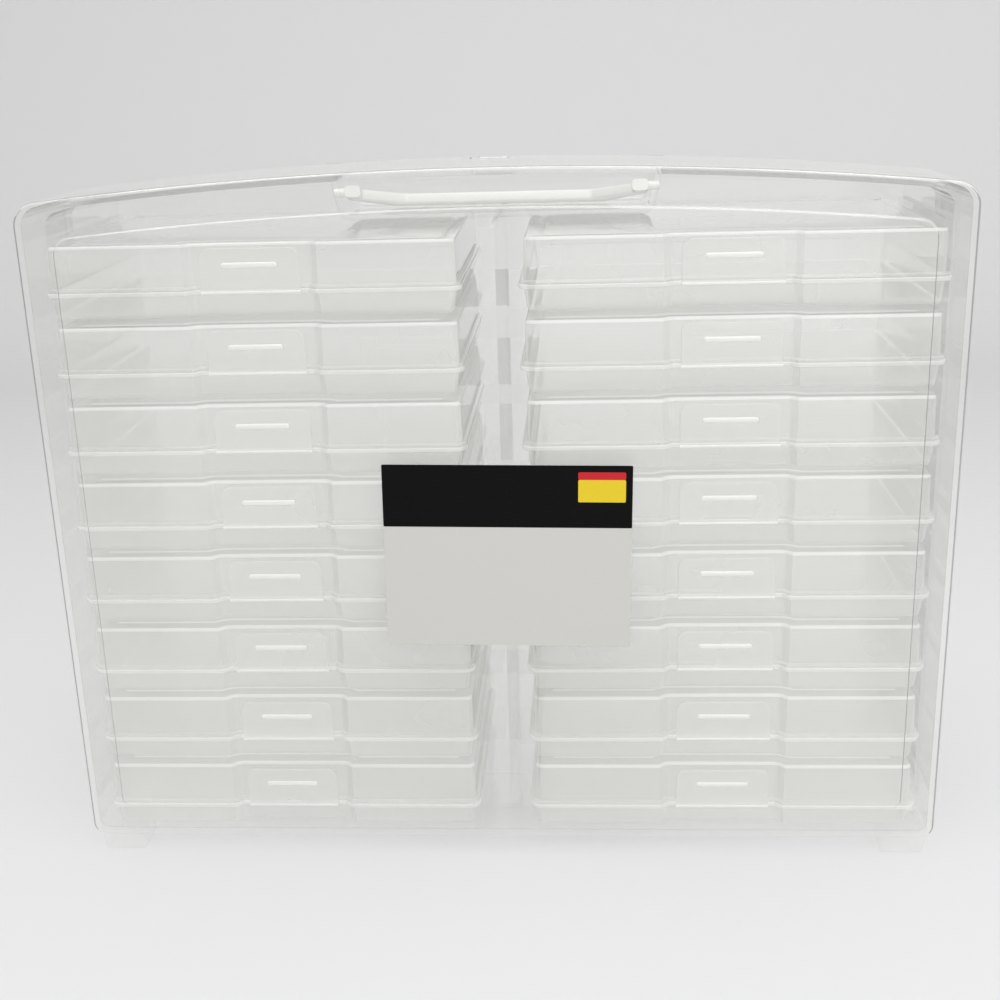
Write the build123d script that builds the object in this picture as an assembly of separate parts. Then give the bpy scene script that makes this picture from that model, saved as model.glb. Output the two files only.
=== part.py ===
from build123d import *
import os
from math import asin, degrees, hypot, sqrt

# An upright keeper for photographs: an arched case in two shells that holds
# flat photo cases in two columns. X runs across, -Y is the front, Z is up,
# and the origin is under the middle of the feet. All sizes are in millimetres.

# ---- photo case: a shallow tray, a deeper lid and a snap tab ----
case_width = 171.5          # across the rim
case_depth = 120.7          # front to back over the rim
case_height = 30.2
case_wall = 1.2
case_corner = 4.0           # upright corners
tray_height = 11.5          # the rim line, where lid and tray meet
rim_thickness = 2.0
rim_reach = 2.1             # how far the rim stands out from the walls
tray_taper = 1.4            # draft of the tray's walls
lid_taper = 0.5             # draft of the lid's walls
lid_bevel = 0.8             # bevel round the top
recess_width = 53.0         # finger recess in the middle of the front
recess_depth = 3.0
recess_slant = 3.0

# ---- snap tab on each case ----
tab_width = 41.0
tab_rise = 17.0             # above the hinge line
tab_thickness = 1.4
tab_corner = 4.0
tab_gap = 0.35              # between the tab's bead and the rim
bead_radius = 0.9
rib_width = 23.0            # raised rib on the tab's face
rib_height = 2.4
rib_stand = 0.5
rib_drop = 7.0              # from the tab's top to the rib's middle
catch_width = 30.0
catch_height = 1.6
catch_stand = 1.9
hook_stand = 0.8
hook_height = 1.2
hook_clearance = 0.4

# ---- how the cases sit in the keeper ----
rows = 8
shelf_thickness = 1.6
seat_gap = 0.3              # a case over its shelf
headroom = 1.5              # a case under the next shelf
bearing = 4.0               # how far a shelf reaches under a tray
center_gap = 22.6           # between the two columns
side_gap = 5.0              # from the outer column to the side wall
front_play = 3.2
back_play = 0.7

# ---- keeper shells ----
wall = 2.2
foot_height = 10.0
crown_gap = 1.9             # top case to the underside of the handle basin
arch_rise = 10.4
top_corner = 10.0
bottom_corner = 6.0
cover_depth = 57.0          # front face to the parting line
parting_gap = 0.3
front_bevel = 2.0
panel_border = 15.5
panel_step = 1.2
panel_slope = 0.8

# ---- inner frame of the body, which the cover slides over ----
guard_length = 32.0         # how far it stands ahead of the body's rim
guard_gap = 0.45            # from the shells' inner faces
guard_thickness = 1.5
guard_top_gap = 2.4         # lower still under the arch
guard_root = 3.0            # pad that rests against the side wall

# ---- divider between the columns ----
divider_thickness = 2.2
post_width = 11.0
post_thickness = 2.0

# ---- feet ----
foot_width = 22.0
foot_length = 20.0
foot_inset = 1.5            # from the side wall
foot_setback = 4.0          # from the front and back faces
foot_taper = 1.5

# ---- cover hinges: a round knuckle on the cover turns on a pin between two lugs of the body ----
hinge_offset = 120.0        # from the middle to each hinge
pin_radius = 1.5
pin_clearance = 0.3
knuckle_radius = 3.3
knuckle_gap = 0.4
knuckle_drop = 0.5          # below the floor
cover_knuckle = 16.0
body_lug = 6.0
lug_nose = 2.6              # how far a lug reaches ahead of the pin's middle
web_length = 9.0

# ---- carrying handle in its basin ----
basin_depth = 24.0          # below the crown of the arch
basin_bottom_width = 131.0
basin_slant = 5.5
basin_length = 43.0
basin_corner = 3.0
handle_thickness = 5.0
handle_clearance = 0.8
arm_width = 6.5
arm_heel = 3.0
arm_run = 6.0
grip_outer = 28.5           # pivot line to the grip's far edge
grip_width = 9.0
grip_span = 96.0            # outside width at the grip
grip_bevel = 1.25
handle_corner = 5.0
pivot_height = 9.5          # above the basin's floor
pivot_radius = 2.0
pivot_clearance = 0.3
pivot_reach = 1.0           # past the basin's wall
pivot_y = 0.0
rest_gap = 1.0              # grip over the basin's floor

# ---- snap tongue on the cover's top edge ----
tongue_width = 18.0
tongue_length = 11.0        # ahead of the parting line
tongue_overlap = 6.0        # behind it, over the basin
tongue_thickness = 1.8
tongue_gap = 0.4
tongue_bead = 0.9
tongue_sink = 0.3
tongue_rib = 0.9
tongue_room = 3.0           # free height under the tongue's lip

# ---- sizes worked out from the ones above ----
row_pitch = shelf_thickness + seat_gap + case_height + headroom
first_case = foot_height + wall + seat_gap
column_offset = center_gap / 2 + case_width / 2
keeper_width = center_gap + 2 * case_width + 2 * side_gap + 2 * wall
keeper_depth = 2 * wall + case_depth + front_play + back_play
basin_floor = first_case + (rows - 1) * row_pitch + case_height + crown_gap + wall
keeper_height = basin_floor + basin_depth
front = -keeper_depth / 2
back = keeper_depth / 2
parting = front + cover_depth
case_center = front + wall + front_play + case_depth / 2
cover_seam = front + panel_step + wall
cover_rim = parting - parting_gap / 2
body_rim = parting + parting_gap / 2
inside_back = back - wall
guard_front = parting - guard_length
inner_corner = 2 * wall
deck_half = keeper_width / 2 - wall - inner_corner
guard_low = foot_height + wall + bottom_corner
guard_high = first_case + (rows - 1) * row_pitch + case_height
tray_inset = rim_reach + tray_taper
shelf_edge = column_offset + case_width / 2 - tray_inset - bearing
divider_reach = column_offset - case_width / 2 + tray_inset + bearing
hinge_height = foot_height - knuckle_radius - knuckle_drop
pivot_level = basin_floor + pivot_height
basin_front = body_rim + wall
basin_back = basin_front + basin_length
tab_y = -case_depth / 2 + recess_depth - tab_gap - bead_radius
hook_level = tray_height + tab_rise - rib_drop
tongue_hinge = parting - tongue_length
tongue_top = keeper_height - tongue_sink


def save(piece, name):
    """Write one piece to its own file."""
    export_step(piece, f"parts/{name}.step")


def at_depth(sketch, y):
    """Stand a front-view sketch upright at depth y; it then extrudes towards the front."""
    return Plane.XZ.offset(-y) * sketch


def slab(sketch, y_front, y_back):
    """Solid between two depths with a front-view outline."""
    return extrude(at_depth(sketch, y_back), y_back - y_front)


def block(x0, x1, y0, y1, z0, z1):
    """Plain block between two corners."""
    return Pos((x0 + x1) / 2, (y0 + y1) / 2, (z0 + z1) / 2) * Box(x1 - x0, y1 - y0, z1 - z0)


def along_x(radius, x0, x1, y, z):
    """Round bar along X."""
    return Pos((x0 + x1) / 2, y, z) * Rot(0, 90, 0) * Cylinder(radius, x1 - x0)


# ---------------------------------------------------------------- photo case

def case_outline(inset, z, ease=chamfer):
    """Plan of the case, drawn in by inset, with its finger recess in the front edge.
    ease rounds or cuts the two front corners; the hidden ones behind are cut."""
    half = case_width / 2 - inset
    near, far = -case_depth / 2 + inset, case_depth / 2 - inset
    slope = recess_slant / recess_depth
    mouth = recess_width / 2 + inset * (hypot(1, slope) - slope)
    bottom = mouth - recess_slant
    line = Polyline(
        (-half, far), (-half, near), (-mouth, near), (-bottom, near + recess_depth),
        (bottom, near + recess_depth), (mouth, near), (half, near), (half, far), close=True,
    )
    plan = make_face(line)
    plan = chamfer(plan.vertices().group_by(Axis.Y)[-1], case_corner)
    front_corners = [v for v in plan.vertices().group_by(Axis.Y)[0] if abs(v.X) > mouth + case_corner]
    return Pos(0, 0, z) * ease(front_corners, case_corner)


def tapered(*levels):
    """Ruled solid through case plans, given as (inset, height) pairs."""
    return loft([case_outline(inset, z).face() for inset, z in levels], ruled=True)


def make_tray():
    """Open shallow tray with a rim all round, on which the lid sits."""
    body = tapered((tray_inset, 0), (rim_reach, tray_height))
    rim = extrude(case_outline(0, tray_height - rim_thickness, fillet), rim_thickness)
    hollow = tapered((tray_inset + case_wall, case_wall), (rim_reach + case_wall, tray_height))
    return body + rim - hollow


def make_lid():
    """Deep lid, open below, with a bevelled top and the catch for the tab."""
    top_inset = rim_reach + lid_taper
    shoulder = case_height - lid_bevel
    body = tapered((rim_reach, tray_height), (top_inset, shoulder))
    body += tapered((top_inset, shoulder), (top_inset + lid_bevel, case_height))
    hollow = tapered((rim_reach + case_wall, tray_height),
                     (top_inset + case_wall, case_height - case_wall))
    wall_face = -case_depth / 2 + recess_depth + rim_reach
    top = hook_level - hook_clearance
    catch = block(-catch_width / 2, catch_width / 2, wall_face - catch_stand,
                  wall_face + lid_taper + case_wall / 2, top - catch_height, top)
    return body + catch - hollow


def make_tab():
    """Snap tab: a plate on a round hinge bead, with a rib outside and a hook inside."""
    half, foot = tab_width / 2, tray_height - rim_thickness / 2
    top = tray_height + tab_rise
    outline = Pos(0, (foot + top) / 2) * Rectangle(tab_width, top - foot)
    outline = chamfer(outline.vertices().group_by(Axis.Y)[-1], tab_corner)
    outer, inner = tab_y - tab_thickness / 2, tab_y + tab_thickness / 2
    tab = slab(outline, outer, inner)
    tab += along_x(bead_radius, -half, half, tab_y, foot)
    rib_level = top - rib_drop
    rib = Pos(0, rib_level) * Rectangle(rib_width, rib_height)
    tab += slab(rib, outer - rib_stand, tab_y)
    hook = block(-catch_width / 2, catch_width / 2, tab_y, inner + hook_stand,
                 hook_level, hook_level + hook_height)
    return tab + hook


def save_cases():
    """Write every case of both columns, numbered from the bottom row up."""
    tray, lid, tab = make_tray(), make_lid(), make_tab()
    for side, sign in (("left", -1), ("right", 1)):
        for row in range(rows):
            place = Pos(sign * column_offset, case_center, first_case + row * row_pitch)
            save(place * tray, f"tray_{side}_{row + 1}")
            save(place * lid, f"lid_{side}_{row + 1}")
            save(place * tab, f"tab_{side}_{row + 1}")


# -------------------------------------------------------------- keeper shells

def keeper_outline(inset):
    """Front view of the keeper drawn in by inset: flat below, arched on top."""
    half_width = keeper_width / 2
    radius = (half_width**2 + arch_rise**2) / (2 * arch_rise)
    middle = keeper_height - radius
    half = half_width - inset
    low, crown = foot_height + inset, keeper_height - inset
    shoulder = middle + sqrt((radius - inset)**2 - half**2)
    face = make_face(
        Polyline((-half, shoulder), (-half, low), (half, low), (half, shoulder))
        + ThreePointArc((half, shoulder), (0, crown), (-half, shoulder))
    )
    ends = face.vertices().group_by(Axis.Y)
    face = fillet(ends[-1], max(top_corner - inset, inner_corner))
    return fillet(face.vertices().group_by(Axis.Y)[0], max(bottom_corner - inset, inner_corner))


def guard_outline(inset):
    """Front view of the inner frame: lowered under the arch so the cover clears it."""
    full = keeper_outline(wall + guard_gap + inset)
    return full & Pos(0, -guard_top_gap) * full


def foot(x_sign, y0, y1):
    """One foot, narrower at the floor, tall enough to run into the shell's rounded corner."""
    outer = keeper_width / 2 - foot_inset
    x = x_sign * (outer - foot_width / 2)
    y = (y0 + y1) / 2
    top = Pos(x, y, foot_height + bottom_corner / 2) * Rectangle(foot_width, y1 - y0)
    sole = Pos(x, y, 0) * Rectangle(foot_width - 2 * foot_taper, y1 - y0 - 2 * foot_taper)
    return loft([sole.face(), top.face()], ruled=True)


def across(profile, x0, x1):
    """Solid with a side-view profile, given as (y, z) points, from x0 to x1."""
    face = Plane.YZ.offset(x0) * make_face(Polyline(*profile, close=True))
    return extrude(face, x1 - x0)


def knuckle(x):
    """Round knuckle of the cover at one hinge, with its web up to the floor."""
    x0, x1 = x - cover_knuckle / 2, x + cover_knuckle / 2
    inside = foot_height + wall / 2
    web = across([(cover_rim, hinge_height), (cover_rim, inside),
                  (parting - web_length, inside), (parting - web_length, foot_height),
                  (parting - knuckle_radius / 2, hinge_height - knuckle_radius / 2)], x0, x1)
    return along_x(knuckle_radius, x0, x1, parting, hinge_height) + web


def lug(x0, x1):
    """Tapered lug of the body that holds one end of a hinge pin."""
    inside, half = foot_height + wall / 2, knuckle_radius / 2
    nose = parting - lug_nose
    return across([(parting - half, hinge_height - knuckle_radius),
                   (parting + half, hinge_height - knuckle_radius),
                   (parting + web_length, foot_height), (parting + web_length, inside),
                   (body_rim, inside), (body_rim, foot_height - knuckle_drop),
                   (nose, hinge_height + half), (nose, hinge_height - half)], x0, x1)


def hinge_places():
    """Middle of each hinge along X."""
    return (-hinge_offset, hinge_offset)


def make_cover_front():
    """Front plate of the cover, bevelled round its edge, with a raised panel."""
    face = front + panel_step
    plate = slab(keeper_outline(0), face, cover_seam)
    plate = chamfer(plate.faces().sort_by(Axis.Y)[0].edges(), front_bevel)
    base = keeper_outline(panel_border - panel_slope)
    raised = keeper_outline(panel_border)
    plate += loft([at_depth(base, face).face(), at_depth(raised, front).face()], ruled=True)
    return plate - slab(keeper_outline(panel_border + wall / 2), front + wall, cover_seam)


def make_cover_band():
    """Sides and arched top of the cover, with a notch for the tongue."""
    band = slab(keeper_outline(0) - keeper_outline(wall), cover_seam, cover_rim)
    band -= cover_deck()
    slot = tongue_width / 2 + tongue_gap
    return band - block(-slot, slot, tongue_hinge - tongue_bead - tongue_gap, cover_rim,
                        keeper_height - 2 * wall, keeper_height)


def cover_deck():
    """Flat floor of the cover between its rounded corners."""
    return block(-deck_half, deck_half, cover_seam, cover_rim, foot_height, foot_height + wall)


def make_cover_base():
    """Floor of the cover with two feet and two hinge knuckles."""
    feet = [foot(sign, front + foot_setback, front + foot_setback + foot_length)
            for sign in (-1, 1)]
    base = cover_deck()
    for one in feet:
        base += one - slab(keeper_outline(0), front, cover_rim)
    for x in hinge_places():
        base += knuckle(x)
        base -= along_x(pin_radius + pin_clearance, x - cover_knuckle, x + cover_knuckle,
                        parting, hinge_height)
    return base


def basin_sketch(grow):
    """Front view of the handle basin, grown by grow: wider at the top."""
    half = basin_bottom_width / 2 + grow
    low = basin_floor - grow
    top = keeper_height + wall
    run = basin_slant * (top - low) / basin_depth
    face = make_face(Polyline((-half, low), (half, low), (half + run, top), (-half - run, top),
                              close=True))
    return fillet(face.vertices().group_by(Axis.Y)[0], basin_corner + grow)


def basin_block():
    """Solid in the outline of the handle basin, walls and floor included."""
    return slab(basin_sketch(wall), body_rim, basin_back + wall)


def make_body():
    """Rear shell: arched tray with two feet, hinge pins and the mouth for the handle basin."""
    shell = slab(keeper_outline(0), body_rim, back)
    shell = chamfer(shell.faces().sort_by(Axis.Y)[-1].edges(), front_bevel)
    for sign in (-1, 1):
        shell += foot(sign, back - foot_setback - foot_length, back - foot_setback)
    shell -= slab(keeper_outline(wall), body_rim, inside_back)
    shell -= basin_block()
    half = cover_knuckle / 2 + knuckle_gap
    for x in hinge_places():
        for sign in (-1, 1):
            shell += lug(*sorted((x + sign * half, x + sign * (half + body_lug))))
        shell += along_x(pin_radius, x - half, x + half, parting, hinge_height)
    return shell


def make_basin():
    """Open tub for the handle, with a pivot hole in each side and a notch for the tongue."""
    tub = basin_block() & slab(keeper_outline(0), body_rim, back)
    tub -= slab(basin_sketch(0), basin_front, basin_back)
    hole = keeper_width / 2
    tub -= along_x(pivot_radius + pivot_clearance, -hole, hole, pivot_y, pivot_level)
    slot = tongue_width / 2 + tongue_gap
    notch_floor = tongue_top - tongue_thickness - tongue_rib - tongue_room
    return tub - block(-slot, slot, body_rim, basin_front, notch_floor, keeper_height)


def make_rack(sign):
    """Side of the inner frame: an upright panel with a shelf rib for each row above the floor."""
    face = keeper_width / 2 - wall
    outer, inner = face - guard_gap, face - guard_gap - guard_thickness
    rack = block(inner, outer, guard_front, inside_back, guard_low, guard_high)
    rack += block(inner, face, body_rim, body_rim + guard_root, guard_low, guard_high)
    for row in range(1, rows):
        top = first_case + row * row_pitch - seat_gap
        rack += block(shelf_edge, outer, guard_front, inside_back, top - shelf_thickness, top)
    return rack if sign > 0 else mirror(rack, Plane.YZ)


def make_crown():
    """Top of the inner frame: an arched strip that stands on both racks."""
    strip = slab(guard_outline(0) - guard_outline(guard_thickness), guard_front, body_rim)
    return strip - block(-keeper_width, keeper_width, guard_front, body_rim, 0, guard_high)


def make_divider():
    """Upright web between the columns, with a front post and shelf ribs to both sides."""
    low = foot_height + wall
    top = basin_floor - wall
    half = divider_thickness / 2
    upper = low + shelf_thickness
    divider = block(-half, half, body_rim + parting_gap, inside_back, low, top)
    divider += block(-half, half, guard_front, body_rim + parting_gap, upper, top)
    divider += block(-post_width / 2, post_width / 2, guard_front, guard_front + post_thickness,
                     upper, top)
    for row in range(1, rows):
        level = first_case + row * row_pitch - seat_gap
        plan = Rectangle(2 * divider_reach, inside_back - guard_front)
        plan = chamfer(plan.vertices().group_by(Axis.Y)[0], post_thickness)
        divider += Pos(0, (inside_back + guard_front) / 2, level - shelf_thickness) * extrude(
            plan, shelf_thickness)
    return divider


def make_handle():
    """Swing handle, drawn flat from its pivot line and then laid down into the basin."""
    wall_x = basin_bottom_width / 2 + basin_slant * pivot_height / basin_depth
    heel = wall_x - handle_clearance - basin_slant * handle_thickness / basin_depth
    outline = make_face(Polyline(
        (-heel, -arm_heel), (heel, -arm_heel), (heel, arm_run), (grip_span / 2, grip_outer),
        (-grip_span / 2, grip_outer), (-heel, arm_run), close=True))
    outline = fillet(outline.vertices().group_by(Axis.Y)[-1], handle_corner)
    inner = grip_span / 2 - arm_width
    window = make_face(Polyline(
        (-heel + arm_width, -arm_heel), (heel - arm_width, -arm_heel),
        (heel - arm_width, arm_run), (inner, grip_outer - grip_width),
        (-inner, grip_outer - grip_width), (-heel + arm_width, arm_run), close=True))
    handle = extrude(outline - window, handle_thickness / 2, both=True)
    grip_edges = [e for e in handle.edges().filter_by(Axis.X)
                  if e.length > grip_span / 2 and e.center().Y > 0]
    handle = chamfer(grip_edges, grip_bevel)
    reach = wall_x + wall + pivot_reach
    for sign in (-1, 1):
        x0, x1 = sorted((sign * (heel - arm_width / 2), sign * reach))
        handle += along_x(pivot_radius, x0, x1, 0, 0)
    grip_radius = grip_outer - grip_width / 2
    drop = degrees(asin((pivot_height - handle_thickness / 2 - rest_gap) / grip_radius))
    return Pos(0, pivot_y, pivot_level) * Rot(-drop, 0, 0) * handle


def make_tongue():
    """Snap tongue that bridges the parting line, on a round hinge bead, with a lifting rib."""
    half = tongue_width / 2
    level = tongue_top - tongue_thickness / 2
    end = parting + tongue_overlap
    tongue = block(-half, half, tongue_hinge, end, tongue_top - tongue_thickness, tongue_top)
    tongue += along_x(tongue_bead, -half, half, tongue_hinge, level)
    lip = block(-half, half, basin_front + tongue_gap, end,
                tongue_top - tongue_thickness - tongue_rib, tongue_top)
    return tongue + lip


os.makedirs("parts", exist_ok=True)
save_cases()
save(make_cover_front(), "cover_front")
save(make_cover_band(), "cover_band")
save(make_cover_base(), "cover_base")
save(make_body(), "body_shell")
save(make_basin(), "handle_basin")
save(make_rack(-1), "side_rack_left")
save(make_rack(1), "side_rack_right")
save(make_crown(), "crown_strip")
save(make_divider(), "center_divider")
save(make_handle(), "carry_handle")
save(make_tongue(), "cover_tongue")
print("keeper", round(keeper_width, 1), round(keeper_depth, 1), round(keeper_height, 1))
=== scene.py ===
from math import cos, pi, radians, sin

import bmesh
import bpy
import numpy as np
from mathutils import Matrix, Vector


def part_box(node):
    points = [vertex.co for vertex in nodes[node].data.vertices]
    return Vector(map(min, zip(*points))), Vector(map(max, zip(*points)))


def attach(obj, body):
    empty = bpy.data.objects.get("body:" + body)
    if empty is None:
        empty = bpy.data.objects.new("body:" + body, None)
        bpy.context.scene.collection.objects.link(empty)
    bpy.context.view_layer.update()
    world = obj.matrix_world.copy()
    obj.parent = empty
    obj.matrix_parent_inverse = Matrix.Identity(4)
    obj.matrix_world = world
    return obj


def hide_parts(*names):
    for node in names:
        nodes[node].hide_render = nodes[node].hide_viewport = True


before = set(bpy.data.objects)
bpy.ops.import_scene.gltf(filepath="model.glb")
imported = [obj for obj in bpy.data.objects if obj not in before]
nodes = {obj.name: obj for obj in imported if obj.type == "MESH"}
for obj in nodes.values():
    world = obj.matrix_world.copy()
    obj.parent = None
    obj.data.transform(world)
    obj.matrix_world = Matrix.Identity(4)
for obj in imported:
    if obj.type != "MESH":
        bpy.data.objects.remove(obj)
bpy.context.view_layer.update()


# ---------------------------------------------------------------- camera and stage
# A white sweep of card behind and under the keeper, lit by soft boxes from above
# and from the front. The camera stands in front of it, a little to the right and
# above the arch, and looks down at it.

camera_place = Vector((0.038, -0.611, 0.349))
camera_down, camera_left, camera_roll = radians(18.02), radians(3.77), radians(1.75)
focal_pixels, frame_pixels, sensor_width = 1385.0, 1000, 36.0

across_view = Vector((cos(camera_left), sin(camera_left), 0))
into_view = Vector((-sin(camera_left), cos(camera_left), 0))
ahead = cos(camera_down) * into_view - sin(camera_down) * Vector((0, 0, 1))
above = sin(camera_down) * into_view + cos(camera_down) * Vector((0, 0, 1))
right = cos(camera_roll) * across_view - sin(camera_roll) * above
up = sin(camera_roll) * across_view + cos(camera_roll) * above
camera_data = bpy.data.cameras.new("photo_camera")
camera_data.sensor_width = sensor_width
camera_data.lens = sensor_width * focal_pixels / frame_pixels
camera_data.clip_start = 0.05
camera = bpy.data.objects.new("photo_camera", camera_data)
camera.matrix_world = Matrix.Translation(camera_place) @ Matrix(
    (right, up, -ahead)).transposed().to_4x4()
bpy.context.scene.collection.objects.link(camera)
bpy.context.scene.camera = camera
bpy.context.scene.view_settings.view_transform = "Standard"
bpy.context.scene.cycles.transparent_max_bounces = 64
bpy.context.scene.cycles.diffuse_bounces = 1
bpy.context.scene.cycles.glossy_bounces = 1


def grid_mesh(name, points, closed=False):
    """Smooth mesh of a grid of points, rows by columns by XYZ, with one quad between each
    four neighbours. Where it is closed, the last column joins the first."""
    rows, cols = points.shape[:2]
    index = np.arange(rows * cols).reshape(rows, cols)
    if closed:
        index = np.hstack((index, index[:, :1]))
    quads = np.stack((index[:-1, :-1], index[:-1, 1:], index[1:, 1:], index[1:, :-1]), -1)
    mesh = bpy.data.meshes.new(name)
    mesh.from_pydata(points.reshape(-1, 3), [], quads.reshape(-1, 4).tolist())
    mesh.polygons.foreach_set("use_smooth", np.ones(len(mesh.polygons), bool))
    return mesh


def put(name, mesh, material):
    """New object with this mesh and material at the origin."""
    piece = bpy.data.objects.new(name, mesh)
    mesh.materials.append(material)
    bpy.context.scene.collection.objects.link(piece)
    return piece


def sweep_points(half_width, near, far, radius, height):
    """Floor strip, a quarter circle and an upright wall as one profile in Y and Z, carried
    straight along X."""
    turn = np.linspace(0, pi / 2, 24)
    y = np.concatenate(([near, 0], far + radius * np.sin(turn), [far + radius]))
    z = np.concatenate(([0, 0], radius * (1 - np.cos(turn)), [height]))
    x = np.linspace(-half_width, half_width, 9)
    return np.stack(np.broadcast_arrays(x[:, None], y[None], z[None]), -1)


card = bpy.data.materials.new("card")
card.use_nodes = True
card_face = card.node_tree.nodes["Principled BSDF"]
card_face.inputs["Base Color"].default_value = (0.80, 0.80, 0.80, 1)
card_face.inputs["Roughness"].default_value = 0.9
sweep_grid = sweep_points(half_width=4.0, near=-4.0, far=0.9, radius=0.6, height=4.0)
sweep = put("sweep", grid_mesh("sweep", sweep_grid), card)


def soft_box(name, place, width, height, power):
    """Rectangular lamp at place that faces the middle of the keeper."""
    lamp = bpy.data.lights.new(name, "AREA")
    lamp.shape = "RECTANGLE"
    lamp.size, lamp.size_y, lamp.energy = width, height, power
    holder = bpy.data.objects.new(name, lamp)
    toward = Vector((0.0, 0.0, 0.15)) - Vector(place)
    holder.matrix_world = Matrix.Translation(place) @ toward.to_track_quat(
        "-Z", "Y").to_matrix().to_4x4()
    bpy.context.scene.collection.objects.link(holder)


soft_box("top_box", (0.0, -0.35, 1.5), width=1.6, height=0.5, power=9.5)
soft_box("front_box", (0.9, -1.7, 1.2), width=2.6, height=1.8, power=20.0)
world = bpy.data.worlds.new("studio")
bpy.context.scene.world = world
world.use_nodes = True
world.node_tree.nodes["Background"].inputs["Color"].default_value = (1, 1, 1, 1)
world.node_tree.nodes["Background"].inputs["Strength"].default_value = 0.6


# ---------------------------------------------------------------- front cover
# The cover is one injection moulding in clear polypropylene, slightly milky, so each wall
# veils what is behind it: an arched tray with a raised panel, a notch for the snap tongue,
# two feet and two hinge knuckles. It carries faint flow clouds and a fine satin skin.

crisp_turn, arc_points = 40, 7


def shell_mesh(name, rings, sharp=crisp_turn):
    """Closed skin through a stack of rings with equal counts of points. The first and the
    last ring are drawn together to their middle, which closes the skin, and its faces are
    turned so that the volume comes out positive. Edges over sharp degrees stay crisp."""
    middle = rings[[0, -1]].mean(axis=1, keepdims=True)
    caps = np.broadcast_to(middle, (2, rings.shape[1], 3))
    mesh = grid_mesh(name, np.concatenate((caps[:1], rings, caps[1:])), closed=True)
    work = bmesh.new()
    work.from_mesh(mesh)
    bmesh.ops.remove_doubles(work, verts=work.verts, dist=1e-7)
    if work.calc_volume(signed=True) < 0:
        bmesh.ops.reverse_faces(work, faces=work.faces)
    work.to_mesh(mesh)
    work.free()
    mesh.set_sharp_from_angle(angle=radians(sharp))
    return mesh


def joined(name, stacks):
    """One mesh of several closed skins, each given as its stack of rings."""
    work = bmesh.new()
    for rings in stacks:
        skin = shell_mesh("skin", rings)
        work.from_mesh(skin)
        bpy.data.meshes.remove(skin)
    mesh = bpy.data.meshes.new(name)
    work.to_mesh(mesh)
    work.free()
    mesh.polygons.foreach_set("use_smooth", np.ones(len(mesh.polygons), bool))
    mesh.set_sharp_from_angle(angle=radians(crisp_turn))
    return mesh


def moulded(name, stacks, material, body, slot, *stands_for):
    """New piece of several skins that rides a body and stands for CAD nodes. Large flat
    faces set the shading at their edges, so that they look flat."""
    piece = put(name, joined(name, stacks), material)
    modifier = piece.modifiers.new("even_normals", "WEIGHTED_NORMAL")
    modifier.keep_sharp = True
    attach(piece, body)
    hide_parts(*stands_for)
    return piece


def coat(piece, material, chosen):
    """Give a piece's faces another material where chosen(middles, normals) is true. Both are
    given as X, Y and Z rows, the middles in millimetres."""
    mesh = piece.data
    middles, normals = np.empty((2, len(mesh.polygons) * 3))
    mesh.polygons.foreach_get("center", middles)
    mesh.polygons.foreach_get("normal", normals)
    kinds = np.empty(len(mesh.polygons), int)
    mesh.polygons.foreach_get("material_index", kinds)
    at, facing = middles.reshape(-1, 3).T * 1000, normals.reshape(-1, 3).T
    kinds[chosen(at, facing)] = len(mesh.materials)
    mesh.materials.append(material)
    mesh.polygons.foreach_set("material_index", kinds)


def soft_plan(corners, radii, inset, bend):
    """Closed outline through corners, given anticlockwise, drawn in by inset, with each
    corner rounded. A corner's arc keeps its middle as the outline moves in, so its radius
    shrinks by the inset where the outline turns left and grows by it where it turns right.
    An arc is bend points at equal turns between its two edges' directions."""
    ahead_edge = np.roll(corners, -1, 0) - corners
    heading = np.arctan2(ahead_edge[:, 1], ahead_edge[:, 0])
    turn = (heading - np.roll(heading, 1) + pi) % (2 * pi) - pi
    start = heading - turn
    side = np.sign(turn)
    radius = np.maximum(radii - side * inset, 0.0003)
    before = np.stack((-np.sin(start), np.cos(start)), -1)
    after = np.stack((-np.sin(heading), np.cos(heading)), -1)
    miter = (before + after) / (1 + (before * after).sum(-1, keepdims=True))
    middle = corners + miter * (inset + side * radius)[:, None]
    angle = start[:, None] + turn[:, None] * np.linspace(0, 1, bend)
    normal = np.stack((-np.sin(angle), np.cos(angle)), -1)
    return (middle[:, None] - (side * radius)[:, None, None] * normal).reshape(-1, 2)


def stacked_rings(corners, radii, profile, axis):
    """Rings of an outline that lies square to one axis (0 for X, 1 for Y, 2 for Z), one for
    each (inset, place along the axis) pair of the profile. The corners are pairs of the other
    two coordinates, anticlockwise. All in millimetres."""
    corners, radii = np.array(corners) / 1000, np.array(radii) / 1000
    return np.stack([np.insert(soft_plan(corners, radii, inset / 1000, arc_points), axis,
                               place / 1000, axis=1) for inset, place in profile])


def wire(tree, pairs):
    """Link each pair of sockets in a node tree."""
    for source, target in pairs:
        tree.links.new(source, target)


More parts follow.
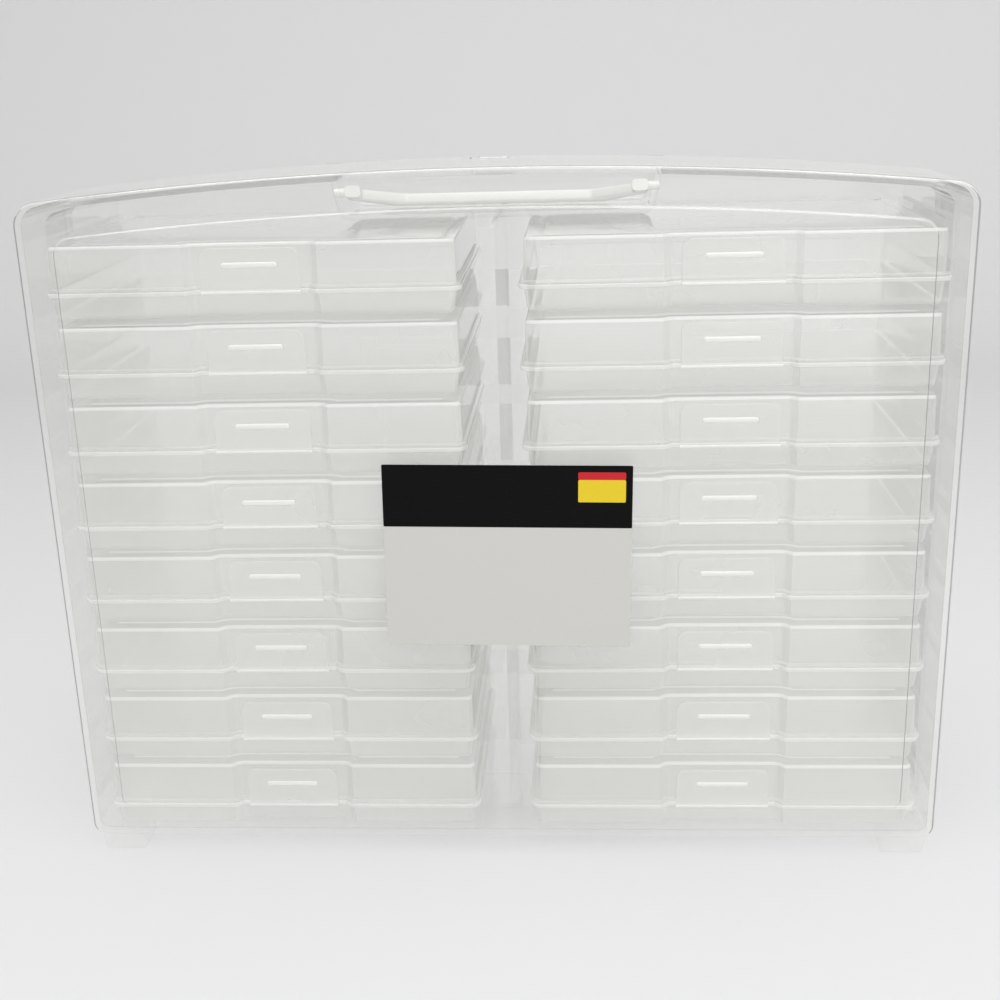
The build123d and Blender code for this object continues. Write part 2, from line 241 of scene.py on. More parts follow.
def frost_group():
    """Node group for moulded plastic: flow clouds as a haze mask around 0.5, and the fine
    satin skin as a height."""
    group = bpy.data.node_groups.new("frost", "ShaderNodeTree")
    face = group.interface
    face.new_socket("Vector", in_out="INPUT", socket_type="NodeSocketVector")
    face.new_socket("Cloud Scale", in_out="INPUT", socket_type="NodeSocketFloat")
    face.new_socket("Skin Scale", in_out="INPUT", socket_type="NodeSocketFloat")
    face.new_socket("Haze", in_out="OUTPUT", socket_type="NodeSocketFloat")
    face.new_socket("Height", in_out="OUTPUT", socket_type="NodeSocketFloat")
    entry = group.nodes.new("NodeGroupInput")
    leave = group.nodes.new("NodeGroupOutput")
    cloud = group.nodes.new("ShaderNodeTexNoise")
    cloud.inputs["Detail"].default_value = 3
    skin = group.nodes.new("ShaderNodeTexNoise")
    skin.inputs["Detail"].default_value = 2
    wire(group, (
        (entry.outputs["Vector"], cloud.inputs["Vector"]),
        (entry.outputs["Vector"], skin.inputs["Vector"]),
        (entry.outputs["Cloud Scale"], cloud.inputs["Scale"]),
        (entry.outputs["Skin Scale"], skin.inputs["Scale"]),
        (cloud.outputs["Fac"], leave.inputs["Haze"]),
        (skin.outputs["Fac"], leave.inputs["Height"]),
    ))
    return group


frost = frost_group()


def clear_plastic(name, veil, uneven, edge, tint, gloss):
    """Milky clear plastic. veil is how much a wall's face hides where it is looked at
    squarely, uneven how much the flow clouds change that, edge how much more it hides at a
    slant, tint its colour and gloss its roughness. A wall counts once, by the face that is
    towards the eye, and its milkiness scatters light on to both sides rather than stopping
    it, so light reaches the walls behind."""
    material = bpy.data.materials.new(name)
    material.use_nodes = True
    tree = material.node_tree
    solid = tree.nodes["Principled BSDF"]
    solid.inputs["Base Color"].default_value = (*tint, 1)
    solid.inputs["Roughness"].default_value = gloss + 0.2
    place = tree.nodes.new("ShaderNodeTexCoord")
    texture = tree.nodes.new("ShaderNodeGroup")
    texture.node_tree = frost
    texture.inputs["Cloud Scale"].default_value = 14
    texture.inputs["Skin Scale"].default_value = 900
    cloud = tree.nodes.new("ShaderNodeMapRange")
    cloud.inputs["From Min"].default_value = 0.3
    cloud.inputs["From Max"].default_value = 0.7
    cloud.inputs["To Min"].default_value = veil - uneven
    cloud.inputs["To Max"].default_value = veil + uneven
    slant = tree.nodes.new("ShaderNodeLayerWeight")
    slant.inputs["Blend"].default_value = 0.25
    dense = tree.nodes.new("ShaderNodeMath")
    dense.operation = "MULTIPLY_ADD"
    dense.use_clamp = True
    dense.inputs[1].default_value = edge
    bump = tree.nodes.new("ShaderNodeBump")
    bump.inputs["Strength"].default_value = 0.03
    bump.inputs["Distance"].default_value = 0.0003
    through = tree.nodes.new("ShaderNodeBsdfTranslucent")
    through.inputs["Color"].default_value = (*tint, 1)
    milk = tree.nodes.new("ShaderNodeMixShader")
    milk.inputs["Fac"].default_value = 0.18
    clear = tree.nodes.new("ShaderNodeBsdfTransparent")
    veiled = tree.nodes.new("ShaderNodeMixShader")
    shine = tree.nodes.new("ShaderNodeBsdfGlossy")
    shine.inputs["Color"].default_value = (1, 1, 1, 1)
    shine.inputs["Roughness"].default_value = gloss
    mirror = tree.nodes.new("ShaderNodeFresnel")
    mirror.inputs["IOR"].default_value = 1.65
    glazed = tree.nodes.new("ShaderNodeMixShader")
    side = tree.nodes.new("ShaderNodeNewGeometry")
    ray = tree.nodes.new("ShaderNodeLightPath")
    unseen = tree.nodes.new("ShaderNodeMath")
    unseen.operation = "MAXIMUM"
    passing = tree.nodes.new("ShaderNodeMath")
    passing.operation = "MAXIMUM"
    dimmed = tree.nodes.new("ShaderNodeMapRange")
    dimmed.inputs["To Min"].default_value = 0.985
    dimmed.inputs["To Max"].default_value = 0.986
    onward = tree.nodes.new("ShaderNodeBsdfTransparent")
    face = tree.nodes.new("ShaderNodeMixShader")
    wire(tree, (
        (place.outputs["Object"], texture.inputs["Vector"]),
        (texture.outputs["Haze"], cloud.inputs["Value"]),
        (texture.outputs["Height"], bump.inputs["Height"]),
        (bump.outputs["Normal"], solid.inputs["Normal"]),
        (bump.outputs["Normal"], shine.inputs["Normal"]),
        (slant.outputs["Facing"], dense.inputs[0]),
        (cloud.outputs["Result"], dense.inputs[2]),
        (dense.outputs["Value"], veiled.inputs["Fac"]),
        (clear.outputs["BSDF"], veiled.inputs[1]),
        (solid.outputs["BSDF"], milk.inputs[1]),
        (through.outputs["BSDF"], milk.inputs[2]),
        (milk.outputs["Shader"], veiled.inputs[2]),
        (mirror.outputs["Fac"], glazed.inputs["Fac"]),
        (veiled.outputs["Shader"], glazed.inputs[1]),
        (shine.outputs["BSDF"], glazed.inputs[2]),
        (ray.outputs["Is Shadow Ray"], unseen.inputs[0]),
        (ray.outputs["Is Diffuse Ray"], unseen.inputs[1]),
        (side.outputs["Backfacing"], passing.inputs[0]),
        (unseen.outputs["Value"], passing.inputs[1]),
        (unseen.outputs["Value"], dimmed.inputs["Value"]),
        (dimmed.outputs["Result"], onward.inputs["Color"]),
        (passing.outputs["Value"], face.inputs["Fac"]),
        (glazed.outputs["Shader"], face.inputs[1]),
        (onward.outputs["BSDF"], face.inputs[2]),
        (face.outputs["Shader"], tree.nodes["Material Output"].inputs["Surface"]),
    ))
    return material


shell_plastic = clear_plastic("shell_plastic", veil=0.12, uneven=0.03, edge=0.22,
                              tint=(0.92, 0.93, 0.88), gloss=0.08)
panel_plastic = clear_plastic("panel_plastic", veil=0.19, uneven=0.02, edge=0.2,
                              tint=(0.88, 0.89, 0.84), gloss=0.14)
# Brighter, milkier coat that paints highlights on the cover's panel steps and on the turn of its
# top edge.
painted_highlight_plastic = clear_plastic("painted_highlight_plastic", veil=0.3, uneven=0.03, edge=0.3,
                             tint=(0.97, 0.97, 0.94), gloss=0.06)
# Milkier, brighter coat that paints the upward faces of the keeper's top lighter.
painted_top_light_plastic = clear_plastic("painted_top_light_plastic", veil=0.6, uneven=0.03, edge=0.2,
                              tint=(0.97, 0.97, 0.94), gloss=0.06)
# Dark coat that paints shade along the cover's rounded front edge.
painted_edge_shade_plastic = clear_plastic("painted_edge_shade_plastic", veil=0.75, uneven=0.03, edge=0.1,
                             tint=(0.30, 0.31, 0.30), gloss=0.06)
keeper_half, keeper_top, keeper_low, arch_rise = 190.0, 306.0, 10.0, 10.4
arch_radius = (keeper_half**2 + arch_rise**2) / (2 * arch_rise)
top_corner, low_corner, least_top_corner, shell_wall = 10.0, 6.0, 7.5, 2.2
cover_edge, body_edge, notch_edge, notch_half = -7.65, -7.35, -19.8, 9.4
side_points, mouth_points = 30, 9


def keeper_outline(inset, mouth):
    """Front view of the keeper drawn in by inset, anticlockwise: a straight foot line,
    upright sides, and a top that is part of a large circle. Each corner is an arc that
    touches both its neighbours. The stretch of the top between -mouth and mouth has its own
    points at both ends, and the last value is true for its points."""
    low = max(low_corner - inset, 2 * shell_wall)
    high = max(top_corner - inset, least_top_corner)
    side, crown = keeper_half - inset, arch_radius - inset
    middle = keeper_top - arch_radius
    corner_x = side - high
    corner_z = middle + np.sqrt((crown - high)**2 - corner_x**2)
    tilt = np.arctan2(corner_z - middle, corner_x)
    down = np.linspace(-pi / 2, 0, 8)
    over = np.linspace(0, tilt, 9)
    right = np.concatenate((
        np.column_stack((np.linspace(0, side - low, 6)[1:-1], np.full(4, keeper_low + inset))),
        np.column_stack((side - low + low * np.cos(down),
                         keeper_low + inset + low + low * np.sin(down))),
        np.column_stack((corner_x + high * np.cos(over), corner_z + high * np.sin(over)))))
    beside = np.linspace(right[-1, 0], mouth, side_points)
    arch_x = np.concatenate((beside[1:], np.linspace(mouth, -mouth, mouth_points),
                             -beside[:0:-1]))
    arch = np.column_stack((arch_x, middle + np.sqrt(crown**2 - arch_x**2)))
    left = (right * (-1, 1))[::-1]
    in_mouth = np.zeros(2 * len(right) + len(arch), bool)
    first = len(right) + side_points - 1
    in_mouth[first:first + mouth_points] = True
    return np.concatenate((right, arch, left)), in_mouth


def keeper_rings(profile, mouth, lean=0.0, fall=0.0):
    """Rings of the keeper's outline, one for each (inset, depth, depth in the mouth) triple
    of the profile. The top falls by fall for each millimetre behind the parting line, and
    the mouth's half-width shrinks by lean for each millimetre that its edge lies lower."""
    rings = []
    for inset, depth, mouth_depth in profile:
        lower = fall * (mouth_depth - body_edge)
        flat, in_mouth = keeper_outline(inset, mouth - lean * (inset + lower))
        y = np.where(in_mouth, mouth_depth, depth)
        flat[:, 1] -= fall * (y - body_edge) * (flat[:, 1] > keeper_top / 2)
        rings.append(np.insert(flat, 1, y, axis=1))
    return np.stack(rings) / 1000


def same(*pairs):
    """Profile triples whose depth is the same in the mouth."""
    return [(inset, depth, depth) for inset, depth in pairs]


def turned_edge(inset, depth, radius, start, end, count):
    """Profile triples on a circle about (inset, depth), between two angles in degrees; 0
    is away from the middle of the shell and 90 to the front."""
    turn = np.radians(np.linspace(start, end, count))
    return same(*zip(inset - radius * np.cos(turn), depth - radius * np.sin(turn)))


def rim_edge(edge, mouth_edge, soft, out):
    """Profile triples round the rim of a shell, from its outer to its inner face, softened
    by soft. out is -1 where the rim faces the back and 1 where it faces the front."""
    steps = ((0, soft), (0.3 * soft, 0.3 * soft), (soft, 0), (shell_wall - soft, 0),
             (shell_wall - 0.3 * soft, 0.3 * soft), (shell_wall, soft))
    return [(inset, edge + out * back, mouth_edge + out * back) for inset, back in steps]


foot_inner, foot_outer, foot_half, foot_middle = 166.5, 188.5, 10, 50.5


def foot_rings(sign, middle):
    """Foot that narrows to the floor: a rounded rectangle in plan, eased round its sole,
    whose top follows the shell's rounded corner and ends within the shell's wall."""
    near, far = sorted((sign * foot_inner, sign * foot_outer))
    front, back = middle - foot_half, middle + foot_half
    corners = ((near, front), (far, front), (far, back), (near, back))
    rings = stacked_rings(corners, (3, 3, 3, 3), (
        (3.2, 0), (2.2, 0.15), (1.7, 0.6), (1.4, 1.4), (0.7, 7), (0.2, 10), (0.1, 11)), 2)
    past = np.maximum(np.abs(rings[-1, :, 0]) * 1000 - (keeper_half - low_corner), 0)
    skin = keeper_low + low_corner - np.sqrt(low_corner**2 - past**2)
    rings[-2, :, 2], rings[-1, :, 2] = (skin - 0.3) / 1000, (skin + 0.9) / 1000
    return rings


hinge_at, hinge_y, hinge_z, root_level = 120.0, -7.5, 6.2, 10.9
knuckle_radius, knuckle_half = 3.3, 8
knuckle_turn = np.radians(np.linspace(-150, 90, 16))
knuckle_side = [(-16.5, root_level), (-16.5, 10.2)] + list(zip(
    hinge_y + knuckle_radius * np.cos(knuckle_turn),
    hinge_z + knuckle_radius * np.sin(knuckle_turn))) + [(cover_edge, root_level)]


def bar_rings(side, x0, x1, ease):
    """Bar along X with a side view given as (Y, Z) points, a little smaller at both ends."""
    side = np.array(side)
    middle = side.mean(0)
    return np.stack([np.insert(middle + (side - middle) * scale, 0, x, axis=1)
                     for scale, x in ((0.92, x0), (1, x0 + ease), (1, x1 - ease), (0.92, x1))]
                    ) / 1000


panel_face, border_face, rim_ease = -64.28, -63.3, 0.4
cover_profile = (
    same((18.5, panel_face), (16.2, panel_face), (15.9, -64.2), (15.75, -64.05),
         (15.45, -63.45), (15.3, -63.34), (14.9, border_face), (4.0, border_face))
    + turned_edge(1.5, border_face + 1.5, 1.5, 90, 0, 7)
    + same((0, -59.0), (0, notch_edge - rim_ease))
    + rim_edge(cover_edge, notch_edge, rim_ease, -1)
    + same((shell_wall, notch_edge - rim_ease), (shell_wall, -58.0))
    + turned_edge(3.7, -59.6, 1.5, 0, 90, 4)
    + same((15.9, -61.1), (16.6, -61.6), (17.4, -62.2), (19.0, -62.3)))
cover = moulded("keeper_cover",
                [keeper_rings(cover_profile, notch_half)]
                + [foot_rings(sign, -foot_middle) for sign in (-1, 1)]
                + [bar_rings(knuckle_side, x - knuckle_half, x + knuckle_half, 0.5)
                   for x in (-hinge_at, hinge_at)],
                shell_plastic, "cover", "clear_shell", "cover_front", "cover_band", "cover_base")

# The panel is a little hazier than the walls. Its rim steps and the turn at the top of the cover
# carry a painted highlight, a brighter coat; the turn at the sides carries painted shade, a dark
# coat; and the top's upward faces are painted lighter with a milkier coat, for the bright band
# they show at their low slant.
panel_back, step_back, turn_back, edge_back = -64.1, -63.32, -62.0, -61.1
coat(cover, panel_plastic, lambda at, facing: (at[1] < panel_back) & (facing[1] < -0.9))
# Painted shade: a dark line on the rounded front edge, at the sides and narrower at the top.
coat(cover, painted_edge_shade_plastic, lambda at, facing: (at[1] < edge_back) & (facing[1] < -0.15)
     & (facing[1] > np.where(facing[2] > 0.3, -0.5, -0.93)) & (at[2] > keeper_low + 3))
# Painted highlight on the panel's rim steps, above and below.
coat(cover, painted_highlight_plastic, lambda at, facing: (at[1] < step_back) & (facing[1] > -0.95)
     & (np.abs(facing[2]) > 0.2))
# Painted highlight on the turn of the top edge, where its faces lean between up and forward.
coat(cover, painted_highlight_plastic, lambda at, facing: (at[1] < turn_back) & (facing[1] < -0.5)
     & (facing[1] > -0.93) & (facing[2] > 0.3))
# Painted lighter top: the cover's upward faces near the top get the milkier, brighter coat.
coat(cover, painted_top_light_plastic, lambda at, facing: (at[2] > keeper_top - 12) & (facing[2] > 0.95))


# ---------------------------------------------------------------- rear body
# The body is a second moulding of the same plastic: an arched tray that opens to the
# front, with two feet, and two pairs of lugs that hold the hinge pins under its floor.
# Its top has more draft than its sides and falls to the back; the mouth takes the basin.

body_fall, basin_lean, basin_mouth_half, body_back = 0.078, 0.229, 73.36, 64.5


def turned_back(inset, depth, radius, start, end, count):
    """Profile triples on a circle as turned_edge gives them, with 90 to the back."""
    return same(*((out, 2 * depth - near) for out, near, _ in
                  turned_edge(inset, depth, radius, start, end, count)))


body_profile = (
    same((14.0, body_back - shell_wall), (3.7, body_back - shell_wall))
    + turned_back(3.7, 60.8, 1.5, 90, 0, 4)
    + same((shell_wall, 60.0), (shell_wall, 40.45)) + rim_edge(body_edge, 40.05, rim_ease, 1)[::-1]
    + same((0, 40.45), (0, 60.0)) + turned_back(2.2, body_back - 2.2, 2.2, 0, 90, 7)
    + same((6.0, body_back), (14.0, body_back)))
lug_side = [(-9.15, 2.9), (-5.85, 2.9), (1.5, 10.2), (1.5, root_level), (body_edge, root_level),
            (body_edge, 9.5), (-10.1, 7.85), (-10.1, 4.55)]
lug_near, lug_far, pin_radius, pin_half = 8.4, 14.4, 1.5, 9
pin_turn = np.radians(np.linspace(0, 360, 16, endpoint=False))
pin_side = list(zip(hinge_y + pin_radius * np.cos(pin_turn),
                    hinge_z + pin_radius * np.sin(pin_turn)))
lug_places = [(x + sign * lug_near, x + sign * lug_far)
              for x in (-hinge_at, hinge_at) for sign in (-1, 1)]
body = moulded("keeper_body",
               [keeper_rings(body_profile, basin_mouth_half, basin_lean, body_fall)]
               + [foot_rings(sign, foot_middle) for sign in (-1, 1)]
               + [bar_rings(lug_side, *sorted(ends), 0.4) for ends in lug_places]
               + [bar_rings(pin_side, x - pin_half, x + pin_half, 0.2)
                  for x in (-hinge_at, hinge_at)],
               shell_plastic, "body", "clear_shell", "body_shell")
# Painted lighter top: the body's upward faces near the top get the same milkier, brighter coat.
coat(body, painted_top_light_plastic, lambda at, facing: (at[2] > keeper_top - 18) & (facing[2] > 0.95))


# ---------------------------------------------------------------- handle basin
# The tub in which the handle lies, part of the body's moulding: walls that lean outward,
# rounded edges, a rim that follows the body's top, and a notch in front for the tongue.

basin_half, basin_near, basin_far, basin_floor = 65.5, -5.15, 37.85, 282.0
notch_floor, notch_gap, basin_corner, under_round = 300.0, 0.01, 1.5, 4
lean_from, lean_over, basin_bend = 12, 20, 6


def basin_ring(grow, inset, level, at_rim=False):
    """Ring of the basin's plan, grown by the wall and drawn in by inset. Its height is the
    level, or where at_rim is set the level over the body's top and over the notch's floor.
    Its ends lean outward with the height over the floor."""
    half, near, far = basin_half + grow, basin_near - grow, basin_far + grow
    corners = np.array(((-half, near), (-notch_half, near), (notch_gap - notch_half, near),
                        (notch_half - notch_gap, near), (notch_half, near), (half, near),
                        (half, far), (-half, far)))
    corner = basin_corner + grow
    radii = np.array((corner, 1, 1, 1, 1, corner, corner, corner))
    x, y = soft_plan(corners, radii, inset, basin_bend).T
    top = keeper_top - arch_radius + np.sqrt(arch_radius**2 - x**2) - body_fall * (y - body_edge)
    rim = np.where((np.abs(x) < notch_half - notch_gap / 2) & (y < 0), notch_floor, top)
    z = level + rim * at_rim
    spread = np.clip((np.abs(x) - lean_from) / lean_over, 0, 1) * np.sign(x) * basin_lean
    return np.column_stack((x + spread * (z - basin_floor + grow), y, z))


under, wall_top = basin_floor - shell_wall, notch_floor - rim_ease
quarter = np.linspace(0, pi / 2, 5)
basin_rings = np.stack(
    [basin_ring(shell_wall, under_round * (1 - sin(a)), under + under_round * (1 - cos(a)))
     for a in quarter]
    + [basin_ring(shell_wall, 0, wall_top)]
    + [basin_ring(shell_wall, inset, level, True)
       for inset, level, _ in rim_edge(0, 0, rim_ease, -1)]
    + [basin_ring(0, 0, wall_top)]
    + [basin_ring(0, shell_wall * (1 - cos(a)), basin_floor + shell_wall * (1 - sin(a)))
       for a in quarter]) / 1000
moulded("keeper_basin", [basin_rings], shell_plastic, "body", "clear_shell", "handle_basin")


# ---------------------------------------------------------------- inner frame
# Flat ribbed panels of the same plastic: a rack on each side, a strip under the arch and
# the divider with its shelves.

for name in ("side_rack_left", "side_rack_right", "crown_strip", "center_divider"):
    mesh = nodes[name].data
    mesh.materials.clear()
    mesh.materials.append(shell_plastic)


# ---------------------------------------------------------------- carrying handle
# A flat U of the same plastic, thicker than the walls and so milkier. It turns on two
# pegs in the basin's side walls and lies down to the back in the basin.

handle_plastic = clear_plastic("handle_plastic", veil=0.85, uneven=0.05, edge=0.1,
                               tint=(0.97, 0.97, 0.94), gloss=0.15)
heel_x, heel_y, elbow_y, grip_x, grip_y = 65.7, -3, 6, 48.0, 28.5
arm_width, grip_width, handle_thick, squareness = 6.5, 9.0, 5.0, 0.45
peg_level, peg_inner, peg_outer, peg_radius, peg_ease = 291.5, 62.5, 70.8, 2.0, 0.4
handle_drop, round_points = radians(14.48), 20


def arm_side(inner):
    """Closed path along one edge of the U in its own plane: the outer or the inner edge of
    both arms and the grip, with its corners rounded."""
    x, grip = heel_x - inner * arm_width, grip_x - inner * arm_width
    far = grip_y - inner * grip_width
    corners = np.array(((x, heel_y), (x, elbow_y), (grip, far),
                        (-grip, far), (-x, elbow_y), (-x, heel_y)))
    radii = np.array((0.4, 3, 5 - 2 * inner, 5 - 2 * inner, 3, 0.4))
    return soft_plan(corners, radii, 0, arc_points)


def handle_rings():
    """U with a rounded box section: rings round the middle line, each spread between the
    outer and the inner edge in its plane and over the handle's thickness square to it."""
    outer, inner = arm_side(0), arm_side(1)
    turn = np.linspace(0, 2 * pi, round_points, endpoint=False)
    across = np.sign(np.cos(turn)) * np.abs(np.cos(turn))**squareness
    along = np.sign(np.sin(turn)) * np.abs(np.sin(turn))**squareness * handle_thick / 2
    middle, half = (outer + inner) / 2, (outer - inner) / 2
    plane = middle[:, None] + half[:, None] * across[None, :, None]
    return np.concatenate((plane, np.broadcast_to(along[None, :, None],
                                                  (*plane.shape[:2], 1))), -1)


def laid_down(points):
    """Turn the flat handle about its pegs so that the grip drops to the back, and lift it
    to its place."""
    x, y, z = points[..., 0], points[..., 1], points[..., 2]
    return np.stack((x, y * cos(handle_drop) + z * sin(handle_drop),
                     peg_level - y * sin(handle_drop) + z * cos(handle_drop)), -1) / 1000


def peg_rings(x0, x1):
    """Round peg along X with eased ends."""
    turn = np.linspace(0, 2 * pi, round_points, endpoint=False)
    return np.stack([np.column_stack((np.full(round_points, x), radius * np.cos(turn),
                                      radius * np.sin(turn)))
                     for radius, x in ((peg_radius - peg_ease, x0), (peg_radius, x0 + peg_ease),
                                       (peg_radius, x1 - peg_ease), (peg_radius - peg_ease, x1))])


moulded("keeper_handle",
        [laid_down(handle_rings()), laid_down(peg_rings(peg_inner, peg_outer)),
         laid_down(peg_rings(-peg_outer, -peg_inner))],
        handle_plastic, "handle", "clear_handle", "carry_handle")


# ---------------------------------------------------------------- snap tongue
# A springy strip at the middle of the cover's top edge. Its lip hooks behind the basin's
# front wall, and three low ridges give the thumb a hold.

tongue_half, tongue_root, tongue_tip, tongue_bed = 9.0, -18.5, -1.5, 303.9
ridge_half, ridge_width, bead_radius = 6.5, 1.0, 0.9


def strip_rings(y0, y1, z0, z1, soft, half):
    """Flat strip across the tongue from -half to half: a rectangle in side view with its
    edges rounded by soft, eased at both ends."""
    return stacked_rings(((y0, z0), (y1, z0), (y1, z1), (y0, z1)), (soft,) * 4,
                         ((0.5, -half), (0.12, 0.3 - half), (0, 0.8 - half),
                          (0, half - 0.8), (0.12, half - 0.3), (0.5, half)), 0)


tongue_skins = [strip_rings(tongue_root, tongue_tip, tongue_bed, 305.45, 0.5, tongue_half),
                strip_rings(-4.7, tongue_tip, 303.0, 305.3, 0.7, tongue_half)]
tongue_skins += [strip_rings(y, y + ridge_width, 305.2, 305.7, 0.2, ridge_half)
                 for y in (-6.0, -8.6, -11.2)]
tongue_bead = list(zip(tongue_root + bead_radius * np.cos(pin_turn),
                       304.8 + bead_radius * np.sin(pin_turn)))
moulded("keeper_tongue", tongue_skins + [bar_rings(tongue_bead, -tongue_half, tongue_half, 0.3)],
        shell_plastic, "latch", "clear_shell", "cover_tongue")


# ---------------------------------------------------------------- label
# A printed card stuck on the front panel, slightly crooked: coated white stock with a
# solid black band across its upper third, and a small two-colour sticker on the band.

label_middle, label_width, label_height = (0.0044, 0.1455), 0.1042, 0.0808
label_turn, band_height, sticker_left, sticker_right = radians(-1.0), 0.0272, 0.0296, 0.0493
card_back, card_front, band_front, sticker_front = -0.06426, -0.06437, -0.0644, -0.06445
sticker_foot, sticker_fold, sticker_head = 0.0245, 0.0342, 0.0375
paper_corner, paper_bend, paper_crisp = 0.0006, 5, 20


def print_stock(name, colour, shine, gloss, mottle):
    """Printed coated paper: one ink colour, broken a little by the paper's fibres, that
    mirrors by shine and blurs by gloss."""
    material = bpy.data.materials.new(name)
    material.use_nodes = True
    tree = material.node_tree
    face = tree.nodes["Principled BSDF"]
    place = tree.nodes.new("ShaderNodeTexCoord")
    face.inputs["Specular IOR Level"].default_value = shine
    fibre = tree.nodes.new("ShaderNodeTexNoise")
    fibre.inputs["Scale"].default_value = 700
    fibre.inputs["Detail"].default_value = 4
    shade = tree.nodes.new("ShaderNodeMix")
    shade.data_type = "RGBA"
    shade.inputs["A"].default_value = (*colour, 1)
    shade.inputs["B"].default_value = (*(c * (1 - mottle) + 0.02 * mottle for c in colour), 1)
    rough = tree.nodes.new("ShaderNodeMapRange")
    rough.inputs["To Min"].default_value = gloss - 0.06
    rough.inputs["To Max"].default_value = gloss + 0.06
    bump = tree.nodes.new("ShaderNodeBump")
    bump.inputs["Strength"].default_value = 0.05
    bump.inputs["Distance"].default_value = 0.0002
    wire(tree, (
        (place.outputs["Object"], fibre.inputs["Vector"]),
        (fibre.outputs["Fac"], shade.inputs["Factor"]),
        (fibre.outputs["Fac"], rough.inputs["Value"]),
        (fibre.outputs["Fac"], bump.inputs["Height"]),
        (shade.outputs["Result"], face.inputs["Base Color"]),
        (rough.outputs["Result"], face.inputs["Roughness"]),
        (bump.outputs["Normal"], face.inputs["Normal"]),
    ))
    return material


def stuck_sheet(name, x0, x1, z0, z1, back, front, material):
    """Thin sheet on the label, given in the label's own X and Z from its middle, turned with
    it: a rectangle with rounded corners carried from its back to its front depth."""
    corners = np.array(((x0, z0), (x1, z0), (x1, z1), (x0, z1)))
    flat = soft_plan(corners, np.full(4, paper_corner), 0, paper_bend)
    turned = flat @ np.array(((cos(label_turn), sin(label_turn)),
                              (-sin(label_turn), cos(label_turn)))) + label_middle
    rings = np.stack([np.column_stack((turned[:, 0], np.full(len(turned), y), turned[:, 1]))
                      for y in (back, front)])
    piece = put(name, shell_mesh(name, rings, paper_crisp), material)
    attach(piece, "cover")


card_white = print_stock("card_white", (0.62, 0.615, 0.585), shine=0.3, gloss=0.35, mottle=0.03)
ink_black = print_stock("ink_black", (0.003, 0.003, 0.003), shine=0.06, gloss=0.3, mottle=0.2)
sticker_red = print_stock("sticker_red", (0.60, 0.012, 0.02), shine=0.3, gloss=0.4, mottle=0.1)
sticker_yellow = print_stock("sticker_yellow", (0.80, 0.60, 0.02),
                             shine=0.3, gloss=0.4, mottle=0.06)
half_width, half_height = label_width / 2, label_height / 2
stuck_sheet("label_card", -half_width, half_width, -half_height, half_height,
            card_back, card_front, card_white)
stuck_sheet("label_band", -half_width, half_width, half_height - band_height, half_height,
            card_front, band_front, ink_black)
stuck_sheet("sticker_top", sticker_left, sticker_right, sticker_fold, sticker_head,
            band_front, sticker_front, sticker_red)
stuck_sheet("sticker_field", sticker_left, sticker_right, sticker_foot, sticker_fold,
            band_front, sticker_front, sticker_yellow)


# ---------------------------------------------------------------- photo cases
# Sixteen snap cases of the same plastic, thinner and a little milkier than the keeper.
# Each has a shallow tray with a rim all round, and a deep lid with softly rounded edges
# and a finger recess in front, both moulded with draft.

case_plastic = clear_plastic("case_plastic", veil=0.3, uneven=0.04, edge=0.45,
                             tint=(0.83, 0.835, 0.80), gloss=0.08)
# Brighter, milkier coat that paints the highlight on the cases' tray rims and lid edges.
lip_highlight_plastic = clear_plastic("lip_highlight_plastic", veil=0.5, uneven=0.04, edge=0.3,
                            tint=(0.98, 0.98, 0.96), gloss=0.05)
case_half_width, case_half_depth = 85.75, 60.35
recess_half, recess_depth = 26.5, 3.0
recess_floor, recess_inner = recess_depth - case_half_depth, recess_half - recess_depth
case_corners = (
    (-case_half_width, -case_half_depth), (-recess_half, -case_half_depth),
    (-recess_inner, recess_floor), (recess_inner, recess_floor),
    (recess_half, -case_half_depth), (case_half_width, -case_half_depth),
    (case_half_width, case_half_depth), (-case_half_width, case_half_depth))
case_radii = (5.5, 2.0, 1.0, 1.0, 2.0, 5.5, 5.5, 5.5)


def arc(inset, height, radius, start, end, count=5):
    """Profile points on a circle about (inset, height), between two angles in degrees."""
    turn = np.radians(np.linspace(start, end, count))
    return list(zip(inset + radius * np.cos(turn), height + radius * np.sin(turn)))


tray_profile = (
    [(9.0, 0.5), (8.4, 0.5), (7.6, 0)] + arc(5.1, 1.6, 1.6, 270, 185) + [(2.3, 9.3)]
    + arc(0.5, 9.9, 0.4, 270, 180, 3) + arc(0.5, 11.0, 0.5, 180, 90, 4)
    + [(3.3, 11.5), (4.6, 2.6)] + arc(6.0, 2.6, 1.4, 180, 270)[1:] + [(8.4, 1.2), (9.2, 1.7)])
lid_profile = (
    [(11.0, 30.2), (10.2, 29.8), (7.4, 29.8), (6.6, 30.2)] + arc(3.8, 28.9, 1.3, 90, 178, 6)
    + [(2.2, 13.6)] + arc(1.9, 13.2, 0.3, 10, -80, 3) + arc(1.1, 12.4, 0.45, 90, 180, 3)
    + [(0.65, 11.6), (3.2, 11.6), (3.3, 13.2)]
    + arc(4.5, 28.1, 0.8, 178, 90, 5) + [(7.4, 28.7), (10.2, 28.7), (11.0, 29.0)])
tray_rings = stacked_rings(case_corners, case_radii, tray_profile, 2)
lid_rings = stacked_rings(case_corners, case_radii, lid_profile, 2)


def placed(points, node):
    """Move points from a case's own frame to where that case's tray stands."""
    low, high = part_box(node)
    return points + np.array(((low[0] + high[0]) / 2, (low[1] + high[1]) / 2, low[2]))


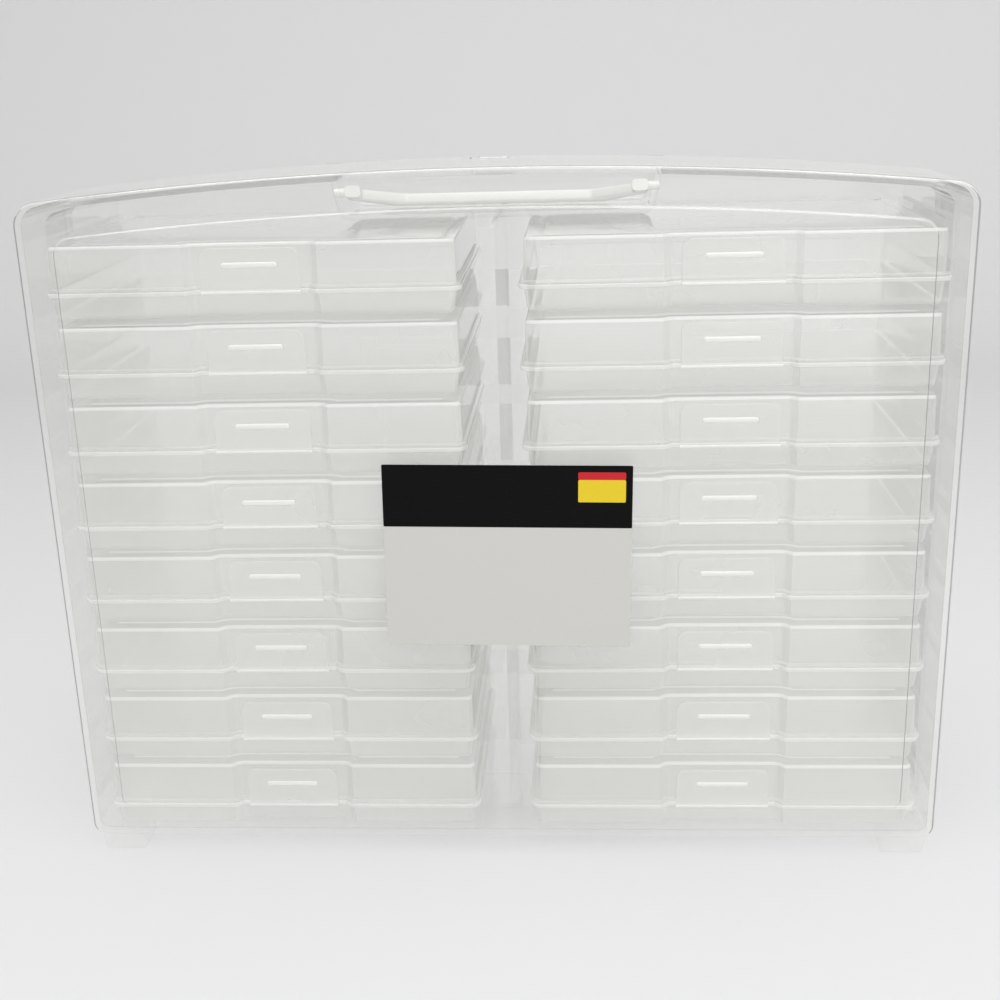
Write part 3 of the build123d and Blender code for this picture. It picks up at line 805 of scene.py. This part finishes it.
# The tray's rim and the lid's upper edge carry a painted highlight, a brighter milkier coat, each
# only round its outer face.
shapes = {"tray": (tray_rings, 9.4, 11.6), "lid": (lid_rings, 28.9, 30.2)}
case_names = [f"{side}_{row}" for side in ("left", "right") for row in range(1, 9)]
for case in case_names:
    for part, (rings, highlight_low, highlight_high) in shapes.items():
        piece = moulded(f"case_{part}_{case}", [placed(rings, f"tray_{case}")], case_plastic,
                        f"case_{case}", "clear_case", f"{part}_{case}")
        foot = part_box(f"tray_{case}")[0].z * 1000
        coat(piece, lip_highlight_plastic, lambda at, facing: (at[2] > foot + highlight_low)
             & (at[2] < foot + highlight_high) & (facing[2] > -0.3) & (facing[2] < 0.97)
             & (at[1] < facing[1] * -20))


# ---------------------------------------------------------------- snap tabs
# A flat tab with rounded upper corners, hinged on a thin bead at the tray's rim. A raised
# bar on its face gives the finger a hold, and a hook behind it catches under the lid.

rib_plastic = clear_plastic("rib_plastic", veil=0.75, uneven=0.04, edge=0.2,
                            tint=(0.97, 0.97, 0.94), gloss=0.15)
tab_half, tab_level, tab_top, tab_front, tab_back = 20.5, 10.5, 28.5, -59.3, -57.9
bar_half, bar_low, bar_high, bar_rise = 11.5, 20.3, 22.7, 0.5
hook_half, hook_low, hook_back = 15, 21.5, -57.1


def rounded_depth(front, back, edge):
    """Profile of a plate between two depths with its edges rounded by edge."""
    turn = np.linspace(0, pi / 2, 4)
    near = [(edge * (1 - sin(a)), front + edge * (1 - cos(a))) for a in turn]
    far = [(edge * (1 - cos(a)), back - edge * (1 - sin(a))) for a in turn]
    return [(edge * 1.6, front)] + near + far + [(edge * 1.6, back)]


def box_corners(x, z0, z1):
    """Corners of an upright rectangle from -x to x and z0 to z1, anticlockwise."""
    return ((-x, z0), (x, z0), (x, z1), (-x, z1))


tab_parts = (
    stacked_rings(box_corners(tab_half, tab_level, tab_top), (0.6, 0.6, 4, 4),
                  rounded_depth(tab_front, tab_back, 0.45), 1),
    stacked_rings(box_corners(bar_half, bar_low, bar_high), (1.15,) * 4,
                  ((0.9, tab_front - bar_rise), (0.6, tab_front - 0.48), (0.3, tab_front - 0.3),
                   (0.05, tab_front - 0.1), (0, tab_front + 0.05), (0.3, tab_front + 0.1)), 1),
    stacked_rings(box_corners(hook_half, hook_low, bar_high), (0.3,) * 4,
                  rounded_depth(tab_back - 0.1, hook_back, 0.25), 1),
)
bead_middle = (tab_front + tab_back) / 2
bead_ring = np.stack((np.zeros_like(pin_turn),
                      bead_middle + bead_radius * np.cos(pin_turn),
                      tab_level + bead_radius * np.sin(pin_turn)), -1) / 1000
bead = np.stack([bead_ring + (x / 1000, 0, 0) for x in (-tab_half, tab_half)])
for case in case_names:
    tab = moulded(f"case_tab_{case}",
                  [placed(rings, f"tray_{case}") for rings in (*tab_parts, bead)],
                  case_plastic, f"snap_{case}", "clear_case", f"tab_{case}")
    bar_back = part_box(f"tab_{case}")[0].y * 1000 + bar_rise - 0.02
    coat(tab, rib_plastic, lambda at, facing: at[1] < bar_back)
